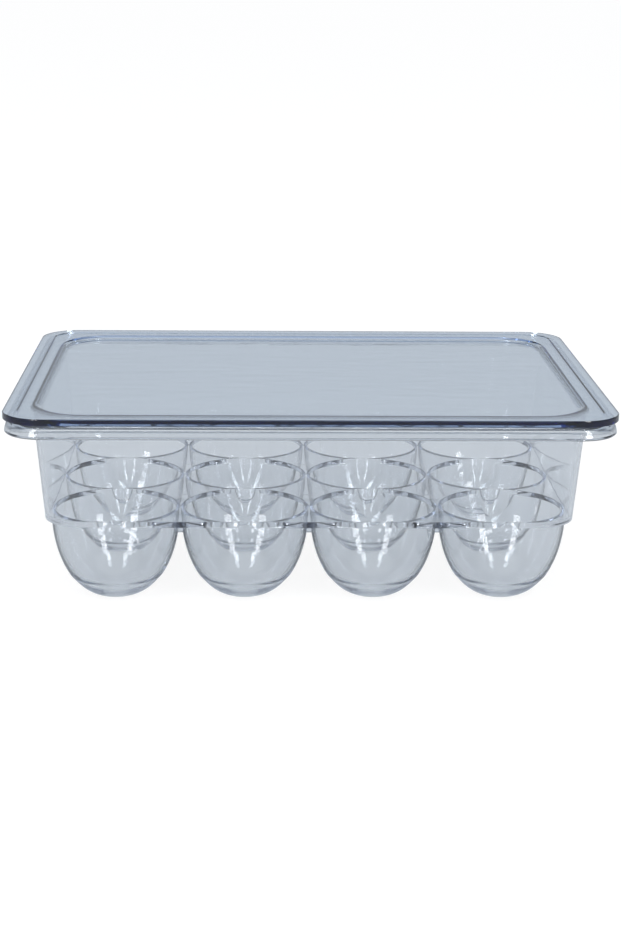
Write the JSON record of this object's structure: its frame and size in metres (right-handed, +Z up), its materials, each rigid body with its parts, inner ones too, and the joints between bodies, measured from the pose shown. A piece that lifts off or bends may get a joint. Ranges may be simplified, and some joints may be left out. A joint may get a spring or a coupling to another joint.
{
  "type": "egg holder",
  "caption": "Clear covered egg tray: an out-turned rim and leaning walls over a deck of round bowl-shaped egg cups, with a flat lift-off lid.",
  "frame": {"origin": "on the table, under the middle of the tray, at the height of the cups' feet", "axes": "+X to the right along the long side, +Y from the front row of cups to the back row, +Z up"},
  "size_m": [0.227, 0.1698, 0.0779],
  "materials": {
    "tray_plastic": "clear, faintly blue-grey moulded plastic, polished",
    "lid_plastic": "clear, faintly blue-grey moulded plastic, polished, dark blue at its cut edge"
  },
  "bodies": {
    "tray": {"egg_cup_r1_c1": "tray_plastic", "egg_cup_r1_c2": "tray_plastic", "egg_cup_r1_c3": "tray_plastic", "egg_cup_r1_c4": "tray_plastic", "egg_cup_r2_c1": "tray_plastic", "egg_cup_r2_c2": "tray_plastic", "egg_cup_r2_c3": "tray_plastic", "egg_cup_r2_c4": "tray_plastic", "egg_cup_r3_c1": "tray_plastic", "egg_cup_r3_c2": "tray_plastic", "egg_cup_r3_c3": "tray_plastic", "egg_cup_r3_c4": "tray_plastic", "cup_deck": "tray_plastic", "tray_wall": "tray_plastic", "rim_flange": "tray_plastic", "rim_lip": "tray_plastic"},
    "lid": {"lid_rim": "lid_plastic", "lid_panel": "lid_plastic"}
  },
  "joints": [
    {"name": "lid_lift", "type": "slide", "parent": "tray", "child": "lid", "axis": [0, 0, 1], "range_m": [0, 0.12]}
  ]
}
